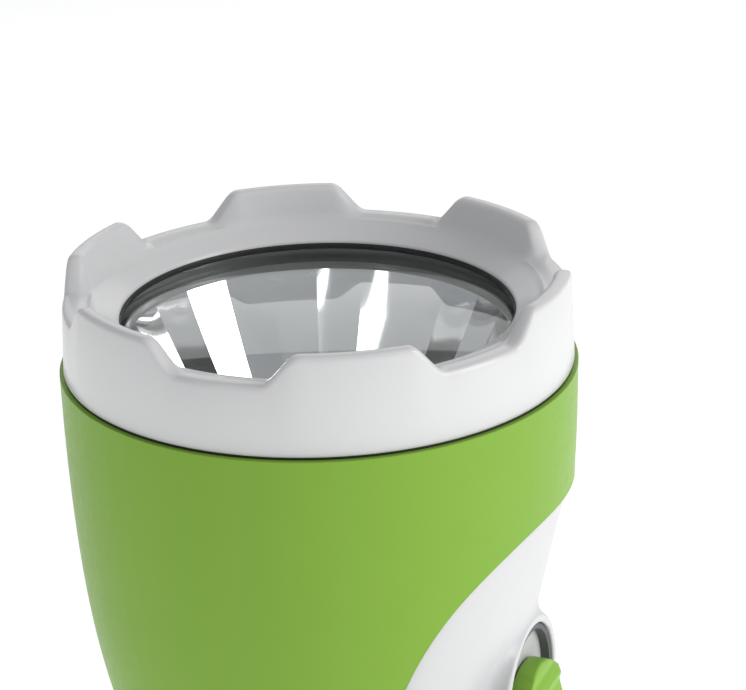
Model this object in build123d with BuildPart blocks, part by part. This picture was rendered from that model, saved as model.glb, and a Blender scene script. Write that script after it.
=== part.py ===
from build123d import *
from math import acos, cos, pi, radians, sin, tan
import os

# A hand crank flashlight that stands on its tail, in millimetres, +Z up.
# The origin is the centre of the foot. The thumb slide faces -Y and the crank is on the back, +Y.
# "drop" means a distance below the seam between the shell and the bezel.

# Shell: radii of the turned outer surface, and where each one lies
seam_z = 200.0
head_radius = 46.4
shoulder_inset = 1.1
shoulder_drop = 30.0
flank_inset = 5.2
flank_drop = 60.0
throat_radius = 31.8
throat_drop = 90.0
neck_radius = 25.4
neck_below_throat = 22.0
waist_radius = 24.0
waist_z = 46.0
tail_radius = 25.4
shell_bottom_z = 12.0
shell_wall = 2.4

# White front panel: its face is turned about an axis set back from the torch's own
panel_axis_back = 7.75
panel_wall = 2.8
panel_low_inset = 3.6
panel_throat_inset = 3.8
panel_dish_inset = 6.9
panel_dish_drop = 45.0
panel_brow_inset = 4.0
panel_brow_drop = 32.0
panel_apex_inset = 1.9
panel_apex_drop = 21.7
panel_half_angle = 55.0
arch_shoulder_x = 15.0
arch_shoulder_fall = 1.6
arch_corner_x = 27.2
arch_corner_fall = 8.8
arch_side_x = 33.6
arch_side_fall = 22.8
panel_flange = 2.5
panel_tuck = 0.5
panel_gap = 0.25
flange_gap = 0.2

# Bezel: a notched ring, six teeth round a conical ledge
tooth_count = 6
tooth_rise = 18.0
notch_depth = 5.3
notch_floor_width = 16.8
notch_mouth_width = 26.3
notch_round = 3.0
tooth_round = 2.4
bezel_setback = 0.7
bezel_draft = 0.5
tooth_land = 2.7
ledge_outer_inset = 5.9
ledge_outer_rise = 12.0
bezel_window_inset = 11.1
ledge_inner_rise = 9.5
lip_thickness = 0.8
bezel_skirt_drop = 6.0
bezel_skirt_wall = 1.8
bezel_fit = 0.25
seam_seal_height = 0.4

# Lens, gasket and reflector
lens_inset = 8.0
lens_thickness = 2.4
lens_gasket_height = 0.8
lens_side_gap = 0.4
reflector_mouth_inset = 11.8
reflector_hole_radius = 5.0
reflector_base_drop = 33.0
reflector_wall = 1.4
reflector_skirt_wall = 1.2
shelf_drop = 6.8
shelf_thickness = 2.2
shelf_lap = 2.8

# Lamp
led_board_radius = 9.0
led_board_thickness = 1.6
led_dome_radius = 2.6
led_lens_radius = 2.3
sink_radius = 16.0
sink_plate = 1.6
sink_fin_height = 2.6
sink_fin_count = 8
sink_fin_width = 1.2
sink_screw_radius = 1.2
sink_screw_circle = 6.4

# Thumb slide: an oval boss on the panel, a dark well in it and the ribbed button in the well
boss_tilt = 0.0
boss_top_drop = 48.5
boss_rim_y = 39.9
well_length = 38.0
well_width = 26.8
boss_rim = 1.7
boss_rim_round = 0.5
boss_mouth_round = 0.4
boss_foot_round = 3.0
boss_depth = 12.8
well_depth = 2.2
tray_gap = 0.2
tray_wall = 1.0
tray_floor = 1.6
tray_inset = 0.5
tray_flange = 1.4
button_width = 18.6
button_length = 27.0
button_top_gap = 7.05
button_crest = 2.7
button_edge = 0.5
button_ramp = 2.0
button_groove_count = 5
button_groove_pitch = 3.6
button_groove_radius = 0.8
slide_travel = 5.5
slide_gap = 0.3
stem_width = 3.6
stem_length = 5.0
stem_reach = 2.2
switch_body_width = 8.0
switch_body_length = 17.0
switch_body_depth = 5.0
board_width = 17.0
board_length = 25.0
board_thickness = 1.6
board_post_radius = 2.2
board_screw_radius = 1.0
board_screw_head = 1.0
board_screw_head_radius = 1.9
switch_clear = 0.8

# Crank housing and crank
crank_z = 54.0
housing_radius = 20.5
housing_back_y = 31.0
housing_wall = 2.4
housing_round = 2.5
shaft_radius = 3.5
run_gap = 0.06
bush_wall = 2.0
bush_flange = 1.8
bush_flange_rim = 1.8
bush_proud = 0.5
arm_gap = 0.8
arm_depth = 8.5
arm_half_width = 9.0
arm_reach = 42.0
arm_tip = 6.5
pocket_half_width = 6.4
pocket_start = 10.8
pocket_end_wall = 2.4
pocket_corner = 0.6
pin_radius = 1.5
eye_radius = 3.5
knob_radius = 5.8
knob_clear = 0.6
knob_waist = 0.8
knob_length = 23.4
knob_start = 5.4
stem_pin_radius = 2.2
rivet_height = 1.0
rivet_radius = 3.4
arm_side_gap = 0.3
crank_screw_head = 1.8
crank_screw_head_radius = 4.6

# Gear train, all on shafts along Y
gear_module = 0.8
gear_pressure = 25.0
gear_addendum = 0.8
gear_dedendum = 1.05
gear_backlash = 0.2
flank_steps = 5
crank_teeth = 40
idler_pinion_teeth = 12
idler_wheel_teeth = 32
rotor_pinion_teeth = 12
gear_width = 3.0
gear_plane_gap = 1.0
plate_thickness = 2.0
plate_gap = 1.0
front_plate_y = 2.0
plate_half_width = 19.0
plate_margin = 18.0
plate_fit = 0.3
post_radius = 2.5
post_x = 11.8
post_low = 16.5
post_high = 13.0
post_screw_radius = 1.2
post_screw_head_radius = 2.2
post_screw_head = 1.0
axle_radius = 1.5

# Generator
magnet_radius = 9.1
magnet_length = 10.0
air_gap = 0.5
stator_radius = 16.2
stator_back = 2.6
stator_pole_count = 6
stator_pole_width = 3.0
coil_wall = 1.4
can_wall = 1.0
can_fit = 0.2
can_end_gap = 1.6

# Cells and their tray
cell_radius = 7.0
cell_length = 43.0
cell_circle = 8.7
cell_count = 3
contact_thickness = 0.4
contact_radius = 4.0
tray_thickness = 2.0
tray_clear = 0.8
cup_height = 3.0
cup_wall = 1.2
cap_radius = 17.4
cell_gap = 0.15
wire_hole_radius = 3.0
wire_hole_x = 21.5

# Tail
tail_base_radius = 27.0
tail_floor = 3.0
tail_base_z = 0.8
foot_ring_outer = 26.2
foot_ring_width = 3.0
foot_ring_height = 2.2
spigot_height = 7.5
spigot_wall = 2.2
spigot_fit = 0.2
tail_screw_x = 19.4
tail_screw_radius = 1.3
tail_screw_head_radius = 2.7
tail_screw_head = 1.6
column_radius = 3.2
column_gap = 0.3
post_height = 12.0
post_end_wall = 2.4

seat = 0.05

# Heights and stations worked out from the sizes above
top_z = seam_z + tooth_rise
throat_z = seam_z - throat_drop
neck_z = throat_z - neck_below_throat
flank_z = seam_z - flank_drop
shoulder_z = seam_z - shoulder_drop
shoulder_radius = head_radius - shoulder_inset
flank_radius = head_radius - flank_inset
apex_z = seam_z - panel_apex_drop
shelf_z = seam_z - shelf_drop
bezel_low_z = seam_z + seam_seal_height
ledge_outer_radius = head_radius - ledge_outer_inset
bezel_window_radius = head_radius - bezel_window_inset
lens_radius = head_radius - lens_inset
reflector_mouth_radius = head_radius - reflector_mouth_inset
shelf_inner_radius = lens_radius - shelf_lap
bezel_outer_radius = head_radius - bezel_setback
tooth_outer_radius = bezel_outer_radius - bezel_draft
skirt_radius = head_radius - shell_wall - bezel_fit
lip_under_z = seam_z + ledge_inner_rise - lip_thickness
lens_top_z = lip_under_z - lens_gasket_height
lens_low_z = lens_top_z - lens_thickness
reflector_top_z = lens_low_z - seat
reflector_base_z = seam_z - reflector_base_drop
led_board_top_z = reflector_base_z - seat
led_board_low_z = led_board_top_z - led_board_thickness
sink_top_z = led_board_low_z - seat
sink_low_z = sink_top_z - sink_plate - sink_fin_height

idler_z = crank_z + gear_module * (crank_teeth + idler_pinion_teeth) / 2
rotor_z = idler_z + gear_module * (idler_wheel_teeth + rotor_pinion_teeth) / 2
inner_gears_y = front_plate_y + plate_thickness + plate_gap
outer_gears_y = inner_gears_y + gear_width + gear_plane_gap
rear_plate_y = outer_gears_y + gear_width + plate_gap
rear_plate_back_y = rear_plate_y + plate_thickness
plate_low_z = crank_z - plate_margin
can_radius = stator_radius + can_fit + can_wall
plate_high_z = rotor_z + can_radius
magnet_y = front_plate_y - can_end_gap - magnet_length
can_front_y = magnet_y - can_end_gap - can_wall

battery_tray_z = rotor_z + can_radius + tray_clear
cells_low_z = battery_tray_z + tray_thickness + contact_thickness + 2 * seat
cells_high_z = cells_low_z + cell_length
cap_low_z = cells_high_z + contact_thickness + 2 * seat

arm_y = housing_back_y + arm_gap
arm_back_y = arm_y + arm_depth
knob_y = housing_back_y + knob_clear + knob_radius
hinge_z = crank_z + arm_reach

normal_y = -cos(radians(boss_tilt))
normal_z = -sin(radians(boss_tilt))
boss_centre_y = -boss_rim_y + well_length / 2 * sin(radians(boss_tilt))
boss_centre_z = seam_z - boss_top_drop - well_length / 2 * cos(radians(boss_tilt))
boss_width = well_width + 2 * boss_rim
boss_length = well_length + 2 * boss_rim
flange_top = -boss_depth - tray_gap
flange_low = flange_top - tray_flange
button_top = well_length / 2 - button_top_gap
button_centre = button_top - button_length / 2

shell_line = [
    (tail_radius, shell_bottom_z),
    (waist_radius, waist_z),
    (neck_radius, neck_z),
    (throat_radius, throat_z),
    (flank_radius, flank_z),
    (shoulder_radius, shoulder_z),
    (head_radius, seam_z),
]
panel_line = [
    (tail_radius - panel_low_inset, shell_bottom_z),
    (waist_radius - panel_low_inset, waist_z),
    (neck_radius - panel_low_inset, neck_z),
    (throat_radius - panel_throat_inset, throat_z),
    (head_radius - panel_dish_inset, seam_z - panel_dish_drop),
    (head_radius - panel_brow_inset, seam_z - panel_brow_drop),
    (head_radius - panel_apex_inset, apex_z),
    (head_radius - panel_apex_inset + panel_tuck, apex_z + 2 * panel_flange),
]


def turned(line, shift=0.0, axis_back=0.0):
    """Solid turned from radii and heights, drawn in by shift, about an axis behind the torch's."""
    low_z = line[0][1]
    high_z = line[-1][1]
    with BuildPart() as blank:
        with BuildSketch(Plane(origin=(0, axis_back, 0), x_dir=(1, 0, 0), z_dir=(0, -1, 0))):
            with BuildLine():
                Spline([(radius + axis_back - shift, height) for radius, height in line])
                Line((line[-1][0] + axis_back - shift, high_z), (0, high_z))
                Line((0, high_z), (0, low_z))
                Line((0, low_z), (line[0][0] + axis_back - shift, low_z))
            make_face()
        revolve(axis=Axis((0, axis_back, 0), (0, 0, 1)))
    return blank.part


def panel_region(growth):
    """The panel's outline seen from the front, an arch on a stem, pushed through the front wall."""
    slope = sin(radians(panel_half_angle))
    low_z = shell_bottom_z - growth
    right_side = [
        (0, apex_z),
        (arch_shoulder_x, apex_z - arch_shoulder_fall),
        (arch_corner_x, apex_z - arch_corner_fall),
        (arch_side_x, apex_z - arch_side_fall),
        (flank_radius * slope, flank_z),
        (throat_radius * slope, throat_z),
        (neck_radius * slope, neck_z),
        (waist_radius * slope, waist_z),
        (tail_radius * slope, low_z),
    ]
    stations = [(-arch_shoulder_x, right_side[1][1]), *right_side, (right_side[-1][0], 0)]
    grown = []
    for before, (x, z), after in zip(stations, right_side, stations[2:]):
        along = Vector(after[0] - before[0], after[1] - before[1]).normalized()
        grown.append((x - growth * along.Y, z + growth * along.X))
    with BuildPart() as region:
        with BuildSketch(Plane.XZ.offset(waist_radius / 4)):
            with BuildLine():
                Spline(grown, tangents=[(1, 0), (0, -1)])
                Polyline(grown[-1], (0, low_z), grown[0])
            make_face()
            mirror(about=Plane.YZ)
        extrude(amount=head_radius)
    return region.part


def across(y, z=0.0):
    """Plane square to the gear shafts: its normal is +Y, its own x is up and its own y is +X."""
    return Plane(origin=(0, y, z), x_dir=(0, 0, 1), z_dir=(0, 1, 0))


def on_boss(height):
    """Plane parallel to the rim of the thumb slide's boss; height is measured outwards."""
    rim = Plane(origin=(0, boss_centre_y, boss_centre_z), x_dir=(1, 0, 0), z_dir=(0, normal_y, normal_z))
    return rim.offset(height)


def outside_slot(edge, length, width):
    """Height over the boss's rim plane and distance outside an oval of that size, at points along an edge."""
    found = []
    for share in (0.0, 0.5, 1.0):
        local = on_boss(0).to_local_coords(edge.position_at(share))
        beyond = max(abs(local.Y) - (length - width) / 2, 0)
        found.append((local.Z, (local.X ** 2 + beyond ** 2) ** 0.5 - width / 2))
    return found


def is_boss_foot(edge):
    """True for an edge where the boss's wall meets the panel's face."""
    if edge.geom_type == GeomType.LINE:
        return False
    if panel_hollow.distance_to(edge.position_at(0.5)) < panel_wall / 2:
        return False
    places = outside_slot(edge, boss_length, boss_width)
    if min(height for height, away in places) > -boss_rim_round - seat:
        return False
    return all(height > seat - boss_depth and abs(away) < seat for height, away in places)


def is_boss_rim(edge):
    """True for an edge in the plane of the boss's rim."""
    return all(abs(height) < seat for height, away in outside_slot(edge, boss_length, boss_width))


def tooth_points(teeth):
    """One gear tooth along its own x, with involute flanks."""
    pitch = gear_module * teeth / 2
    pressure = radians(gear_pressure)
    base = pitch * cos(pressure)
    root = pitch - gear_dedendum * gear_module
    tip = pitch + gear_addendum * gear_module
    half_angle = (pi * gear_module - gear_backlash) / (4 * pitch)
    start = max(root, base)
    flank = []
    for step in range(flank_steps):
        radius = start + (tip - start) * step / (flank_steps - 1)
        roll = acos(base / radius)
        angle = half_angle + tan(pressure) - pressure - tan(roll) + roll
        flank.append((radius * cos(angle), radius * sin(angle)))
    foot_angle = half_angle + tan(pressure) - pressure
    if root < base:
        flank.insert(0, (root * cos(foot_angle), root * sin(foot_angle)))
    mirrored = [(x, -y) for x, y in reversed(flank)]
    inside = root - gear_module / 4
    foot = [(inside, flank[0][1]), *flank, *mirrored, (inside, -flank[0][1])]
    return foot


def draw_gear(teeth, start_angle=0.0):
    """A toothed disc in the sketch that is open; a tooth points up when the start angle is zero."""
    Circle(gear_module * teeth / 2 - gear_dedendum * gear_module)
    with PolarLocations(0, teeth, start_angle):
        Polygon(*tooth_points(teeth), align=None)


outer_blank = turned(shell_line)
inner_blank = turned(shell_line, shell_wall)
flange_blank = turned(shell_line, shell_wall + flange_gap)
panel_blank = turned(panel_line, 0.0, panel_axis_back)
panel_hollow = turned(panel_line, panel_wall, panel_axis_back)
chamber_blank = turned(shell_line, shell_wall + plate_fit)
front_clear_blank = turned(panel_line, panel_wall + plate_fit, panel_axis_back)

opening_region = panel_region(0.0)
panel_face_region = panel_region(-panel_gap)
flange_region = panel_region(panel_flange)

# Green shell: head, back of the handle and the round housing of the crank
with BuildPart() as head_shell:
    add(outer_blank)
    with BuildSketch(across(0, crank_z)):
        Circle(housing_radius)
    extrude(amount=housing_back_y)
    fillet(head_shell.edges().group_by(Axis.Y)[-1], housing_round)
    add(inner_blank, mode=Mode.SUBTRACT)
    with BuildSketch(across(0, crank_z)):
        Circle(housing_radius - housing_wall)
    extrude(amount=housing_back_y - housing_wall, mode=Mode.SUBTRACT)
    with BuildSketch(across(housing_back_y - 2 * housing_wall, crank_z)):
        Circle(shaft_radius + run_gap + bush_wall + seat)
    extrude(amount=3 * housing_wall, mode=Mode.SUBTRACT)
    add(opening_region, mode=Mode.SUBTRACT)
    # shelf that carries the reflector
    with BuildSketch(Plane.XY.offset(shelf_z - shelf_thickness)):
        Circle(head_radius - shell_wall / 2)
        Circle(shelf_inner_radius, mode=Mode.SUBTRACT)
    extrude(amount=shelf_thickness)
    # two posts that take the tail screws
    with BuildSketch(Plane.XY.offset(shell_bottom_z + spigot_height + column_gap)):
        with Locations((tail_screw_x, 0), (-tail_screw_x, 0)):
            Circle(column_radius)
    extrude(amount=post_height)
    with BuildSketch(Plane.XY.offset(shell_bottom_z)):
        with Locations((tail_screw_x, 0), (-tail_screw_x, 0)):
            Circle(tail_screw_radius + seat)
    extrude(amount=spigot_height + column_gap + post_height, mode=Mode.SUBTRACT)
head_shell.part.label = "head_shell"
export_step(head_shell.part, "parts/head_shell.step")

# White front panel, with a flange behind the shell's edge and the oval boss of the slide
with BuildPart() as panel_flange_part:
    add(panel_blank)
    add(flange_blank, mode=Mode.INTERSECT)
    add(flange_region, mode=Mode.INTERSECT)
with BuildPart() as front_panel:
    add(panel_blank)
    add(panel_face_region, mode=Mode.INTERSECT)
    add(panel_flange_part.part)
    add(panel_hollow, mode=Mode.SUBTRACT)
    with BuildSketch(on_boss(0)):
        SlotOverall(boss_length, boss_width, rotation=90)
    extrude(amount=-boss_depth)
    fillet(front_panel.edges().filter_by(is_boss_rim), boss_rim_round)
    fillet(front_panel.edges().filter_by(is_boss_foot), boss_foot_round)
    with BuildSketch(on_boss(0)):
        SlotOverall(well_length, well_width, rotation=90)
    extrude(amount=-2 * boss_depth, mode=Mode.SUBTRACT)
    fillet(front_panel.edges().filter_by(is_boss_rim), boss_mouth_round)
front_panel.part.label = "front_panel"
export_step(front_panel.part, "parts/front_panel.step")

# Dark tray that closes the oval well from behind, with a slot for the button's stem
tray_length = well_length - 2 * tray_gap
tray_width = well_width - 2 * tray_gap
stem_slot_width = stem_width + 2 * slide_gap
stem_slot_length = stem_length + slide_travel + 2 * slide_gap
stem_slot_centre = button_centre + slide_travel / 2
with BuildPart() as well_flange:
    with BuildSketch(on_boss(flange_top)):
        SlotOverall(boss_length, boss_width, rotation=90)
    extrude(amount=-tray_flange)
    add(front_clear_blank, mode=Mode.INTERSECT)
with BuildPart() as switch_well:
    with BuildSketch(on_boss(-tray_inset)):
        SlotOverall(tray_length, tray_width, rotation=90)
    extrude(amount=tray_inset + flange_low)
    add(well_flange.part)
    with BuildSketch(on_boss(-tray_inset)):
        SlotOverall(tray_length - 2 * tray_wall, tray_width - 2 * tray_wall, rotation=90)
    extrude(amount=tray_inset - well_depth, mode=Mode.SUBTRACT)
    with BuildSketch(on_boss(-well_depth - tray_floor)):
        SlotOverall(tray_length - 2 * tray_wall, tray_width - 2 * tray_wall, rotation=90)
    extrude(amount=2 * flange_low, mode=Mode.SUBTRACT)
    with BuildSketch(on_boss(0)):
        with Locations((0, stem_slot_centre)):
            Rectangle(stem_slot_width, stem_slot_length)
    extrude(amount=2 * flange_low, mode=Mode.SUBTRACT)
    with BuildSketch(on_boss(-well_depth - tray_floor)):
        with GridLocations(board_width - 2 * board_post_radius, board_length - 2 * board_post_radius, 2, 2):
            Circle(board_post_radius)
            Circle(board_screw_radius, mode=Mode.SUBTRACT)
    extrude(amount=-switch_body_depth - 2 * seat)
switch_well.part.label = "switch_well"
export_step(switch_well.part, "parts/switch_well.step")

# Green thumb button: a crowned, grooved top, a foot in the well and a stem through its floor
button_base = slide_gap - well_depth
button_bevel = 180 / pi * acos((button_crest - button_edge)
                               / ((button_crest - button_edge) ** 2 + button_ramp ** 2) ** 0.5)
with BuildPart() as switch_button:
    with BuildSketch(on_boss(button_base)):
        with Locations((0, button_centre)):
            SlotOverall(button_length, button_width, rotation=90)
    extrude(amount=button_edge - button_base)
    with BuildSketch(on_boss(button_edge)):
        with Locations((0, button_centre)):
            SlotOverall(button_length, button_width, rotation=90)
    extrude(amount=button_crest - button_edge, taper=button_bevel)
    side = Plane(origin=(-button_width, boss_centre_y, boss_centre_z),
                 x_dir=(0, normal_z, -normal_y), z_dir=(1, 0, 0))
    with BuildSketch(side):
        with Locations((button_centre, button_crest)):
            with GridLocations(button_groove_pitch, 0, button_groove_count, 1):
                Circle(button_groove_radius)
    extrude(amount=2 * button_width, mode=Mode.SUBTRACT)
    with BuildSketch(on_boss(button_base)):
        with Locations((0, button_centre)):
            Rectangle(stem_width, stem_length)
    extrude(amount=-well_depth - tray_floor - stem_reach - button_base)
switch_button.part.label = "switch_button"
export_step(switch_button.part, "parts/switch_button.step")

# Slide switch behind the tray, its groove open to the stem
switch_top = -well_depth - tray_floor - seat
with BuildPart() as slide_switch:
    with BuildSketch(on_boss(switch_top)):
        with Locations((0, stem_slot_centre)):
            Rectangle(switch_body_width, switch_body_length)
    extrude(amount=-switch_body_depth)
    with BuildSketch(on_boss(switch_top)):
        with Locations((0, stem_slot_centre)):
            Rectangle(stem_slot_width, stem_slot_length)
    extrude(amount=-stem_reach - slide_gap, mode=Mode.SUBTRACT)
slide_switch.part.label = "slide_switch"
export_step(slide_switch.part, "parts/slide_switch.step")

# Control board on the tray's four posts
board_top = switch_top - switch_body_depth - seat
with BuildPart() as control_board:
    with BuildSketch(on_boss(board_top)):
        Rectangle(board_width, board_length)
        with GridLocations(board_width - 2 * board_post_radius, board_length - 2 * board_post_radius, 2, 2):
            Circle(board_screw_radius + seat, mode=Mode.SUBTRACT)
    extrude(amount=-board_thickness)
control_board.part.label = "control_board"
export_step(control_board.part, "parts/control_board.step")

with BuildPart() as board_screws:
    with BuildSketch(on_boss(board_top - board_thickness)):
        with GridLocations(board_width - 2 * board_post_radius, board_length - 2 * board_post_radius, 2, 2):
            Circle(board_screw_head_radius)
    extrude(amount=-board_screw_head)
    with BuildSketch(on_boss(board_top - board_thickness)):
        with GridLocations(board_width - 2 * board_post_radius, board_length - 2 * board_post_radius, 2, 2):
            Circle(board_screw_radius - seat / 2)
    extrude(amount=board_thickness + switch_body_depth / 2)
switch_back = board_top - board_thickness - board_screw_head
board_screws.part.label = "board_screws"
export_step(board_screws.part, "parts/board_screws.step")

# Bezel ring: outer wall, toothed rim, ledge down to the window, skirt inside the shell
skirt_inner_radius = skirt_radius - bezel_skirt_wall
lens_bore_radius = lens_radius + lens_side_gap
bore_low_z = lens_low_z - bezel_skirt_wall
with BuildPart() as bezel_ring:
    with BuildSketch(Plane.XZ):
        with BuildLine():
            Polyline(
                (bezel_outer_radius, bezel_low_z),
                (tooth_outer_radius, top_z),
                (tooth_outer_radius - tooth_land, top_z),
                (ledge_outer_radius, seam_z + ledge_outer_rise),
                (bezel_window_radius, seam_z + ledge_inner_rise),
                (bezel_window_radius, lip_under_z),
                (lens_bore_radius, lip_under_z),
                (lens_bore_radius, bore_low_z),
                (skirt_inner_radius, bore_low_z),
                (skirt_inner_radius, seam_z - bezel_skirt_drop),
                (skirt_radius, seam_z - bezel_skirt_drop),
                (skirt_radius, bezel_low_z),
                close=True,
            )
        make_face()
    revolve(axis=Axis.Z)
    for index in range(tooth_count):
        # the first tooth is in line with the thumb slide, and notches lie half a pitch on
        angle = radians(-90 + 360 / tooth_count * (index + 0.5))
        notch_plane = Plane(
            origin=(0, 0, top_z - notch_depth), x_dir=(-sin(angle), cos(angle), 0),
            z_dir=(cos(angle), sin(angle), 0))
        with BuildSketch(notch_plane) as notch:
            flare = (notch_mouth_width - notch_floor_width) / 2 / notch_depth
            with BuildLine():
                Polyline(
                    (-notch_floor_width / 2, 0),
                    (notch_floor_width / 2, 0),
                    (notch_mouth_width / 2 + flare * notch_round, notch_depth + notch_round),
                    (-notch_mouth_width / 2 - flare * notch_round, notch_depth + notch_round),
                    close=True,
                )
            make_face()
            fillet(notch.vertices().group_by(Axis.Y)[0], notch_round)
        extrude(amount=head_radius, mode=Mode.SUBTRACT)
    flank_tops = bezel_ring.edges().filter_by(GeomType.LINE).filter_by_position(Axis.Z, top_z - seat, top_z + seat)
    fillet(flank_tops, tooth_round)
bezel_ring.part.label = "bezel_ring"
export_step(bezel_ring.part, "parts/bezel_ring.step")


def ring(outer, inner, low_z, height):
    """Plain ring about the torch's axis, or a disc where the inner radius is zero."""
    with BuildPart() as blank:
        with BuildSketch(Plane.XY.offset(low_z)):
            Circle(outer)
            if inner:
                Circle(inner, mode=Mode.SUBTRACT)
        extrude(amount=height)
    return blank.part


lens = ring(lens_radius, 0, lens_low_z, lens_thickness)
lens.label = "lens"
export_step(lens, "parts/lens.step")

lens_gasket = ring(lens_radius, bezel_window_radius + seat, lens_top_z, lens_gasket_height)
lens_gasket.label = "lens_gasket"
export_step(lens_gasket, "parts/lens_gasket.step")

seam_seal = ring(bezel_outer_radius - seat * 4, skirt_radius + seat * 2, seam_z, seam_seal_height)
seam_seal.label = "seam_seal"
export_step(seam_seal, "parts/seam_seal.step")

# Reflector: a parabolic bowl, its mouth flange under the lens and a skirt down to the shell's shelf
reflector_flange_low = reflector_top_z - reflector_wall
bowl_rise = (reflector_top_z - reflector_base_z) / (reflector_mouth_radius ** 2 - reflector_hole_radius ** 2)
reflector_rim = lens_radius - 1
base_flange_radius = led_board_radius


def bowl_point(radius, outward):
    """Point of the bowl's section at a radius of its inner face, moved outwards along the normal."""
    slope = 2 * bowl_rise * radius
    length = (1 + slope ** 2) ** 0.5
    height = reflector_base_z + bowl_rise * (radius ** 2 - reflector_hole_radius ** 2)
    return (radius + outward * slope / length, height - outward / length)


bowl_steps = 6
bowl_span = reflector_mouth_radius - reflector_hole_radius
inner_radii = [reflector_hole_radius + bowl_span * step / bowl_steps for step in range(bowl_steps + 1)]
outer_radii = [base_flange_radius + (reflector_mouth_radius - reflector_wall - base_flange_radius)
               * step / bowl_steps for step in range(bowl_steps + 1)]
inner_bowl = [bowl_point(radius, 0) for radius in inner_radii]
outer_bowl = [bowl_point(radius, reflector_wall) for radius in reversed(outer_radii)]
with BuildPart() as reflector:
    with BuildSketch(Plane.XZ):
        with BuildLine():
            Spline(inner_bowl)
            Polyline(
                inner_bowl[-1],
                (reflector_rim, reflector_top_z),
                (reflector_rim, shelf_z),
                (reflector_rim - reflector_skirt_wall, shelf_z),
                (reflector_rim - reflector_skirt_wall, reflector_flange_low),
                (outer_bowl[0][0], reflector_flange_low),
                outer_bowl[0],
            )
            Spline(outer_bowl)
            Polyline(
                outer_bowl[-1],
                (outer_bowl[-1][0], reflector_base_z),
                inner_bowl[0],
            )
        make_face()
    revolve(axis=Axis.Z)
reflector.part.label = "reflector"
export_step(reflector.part, "parts/reflector.step")

# Lamp: emitter on a round board, a finned sink under it, and two screws
with BuildPart() as led_board:
    with BuildSketch(Plane.XY.offset(led_board_low_z)):
        Circle(led_board_radius)
        with PolarLocations(sink_screw_circle, 2):
            Circle(sink_screw_radius + seat, mode=Mode.SUBTRACT)
    extrude(amount=led_board_thickness)
led_board.part.label = "led_board"
export_step(led_board.part, "parts/led_board.step")

with BuildPart() as led_emitter:
    with BuildSketch(Plane.XY.offset(led_board_top_z)):
        Rectangle(2 * led_dome_radius, 2 * led_dome_radius)
    extrude(amount=led_dome_radius / 2)
    with Locations((0, 0, led_board_top_z + led_dome_radius / 2)):
        Sphere(led_lens_radius, arc_size1=0)
led_emitter.part.label = "led_emitter"
export_step(led_emitter.part, "parts/led_emitter.step")

with BuildPart() as heat_sink:
    with BuildSketch(Plane.XY.offset(sink_top_z - sink_plate)):
        Circle(sink_radius)
        with PolarLocations(sink_screw_circle, 2):
            Circle(sink_screw_radius + seat, mode=Mode.SUBTRACT)
    extrude(amount=sink_plate)
    with BuildSketch(Plane.XY.offset(sink_low_z)):
        with PolarLocations((sink_radius + led_board_radius) / 2, sink_fin_count, 360 / sink_fin_count / 2):
            Rectangle(sink_radius - led_board_radius - 1, sink_fin_width)
    extrude(amount=sink_fin_height)
heat_sink.part.label = "heat_sink"
export_step(heat_sink.part, "parts/heat_sink.step")

sink_screw_head_radius = 2 * sink_screw_radius
with BuildPart() as sink_screws:
    with BuildSketch(Plane.XY.offset(sink_top_z - sink_plate - sink_screw_radius)):
        with PolarLocations(sink_screw_circle, 2):
            Circle(sink_screw_head_radius)
    extrude(amount=sink_screw_radius)
    with BuildSketch(Plane.XY.offset(sink_top_z - sink_plate)):
        with PolarLocations(sink_screw_circle, 2):
            Circle(sink_screw_radius)
    extrude(amount=sink_plate + led_board_thickness + seat)
sink_screws.part.label = "sink_screws"
export_step(sink_screws.part, "parts/sink_screws.step")

# Cells: a tray across the head with three cups, the cells, their contacts and a cap
cell_angles = dict(radius=cell_circle, count=cell_count, start_angle=90)
with BuildPart() as battery_tray:
    with BuildSketch(Plane.XY.offset(battery_tray_z)):
        Circle(head_radius)
        with Locations((wire_hole_x, 0), (-wire_hole_x, 0)):
            Circle(wire_hole_radius, mode=Mode.SUBTRACT)
    extrude(amount=tray_thickness)
    add(chamber_blank, mode=Mode.INTERSECT)
    add(front_clear_blank, mode=Mode.INTERSECT)
    with BuildSketch(on_boss(min(switch_back, flange_low) - switch_clear)):
        Rectangle(head_radius, 2 * head_radius)
    extrude(amount=head_radius, mode=Mode.SUBTRACT)
    with BuildSketch(Plane.XY.offset(battery_tray_z + tray_thickness)):
        with PolarLocations(**cell_angles):
            Circle(cell_radius + cell_gap + cup_wall)
        with PolarLocations(**cell_angles):
            Circle(cell_radius + cell_gap, mode=Mode.SUBTRACT)
    extrude(amount=cup_height)
battery_tray.part.label = "battery_tray"
export_step(battery_tray.part, "parts/battery_tray.step")

with BuildPart() as battery_cells:
    with BuildSketch(Plane.XY.offset(cells_low_z)):
        with PolarLocations(**cell_angles):
            Circle(cell_radius)
    extrude(amount=cell_length)
battery_cells.part.label = "battery_cells"
export_step(battery_cells.part, "parts/battery_cells.step")

with BuildPart() as cell_contacts:
    with BuildSketch(Plane.XY.offset(cells_low_z - seat - contact_thickness)):
        with PolarLocations(**cell_angles):
            Circle(contact_radius)
    extrude(amount=contact_thickness)
    with BuildSketch(Plane.XY.offset(cells_high_z + seat)):
        with PolarLocations(**cell_angles):
            Circle(contact_radius)
    extrude(amount=contact_thickness)
cell_contacts.part.label = "cell_contacts"
export_step(cell_contacts.part, "parts/cell_contacts.step")

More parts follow.
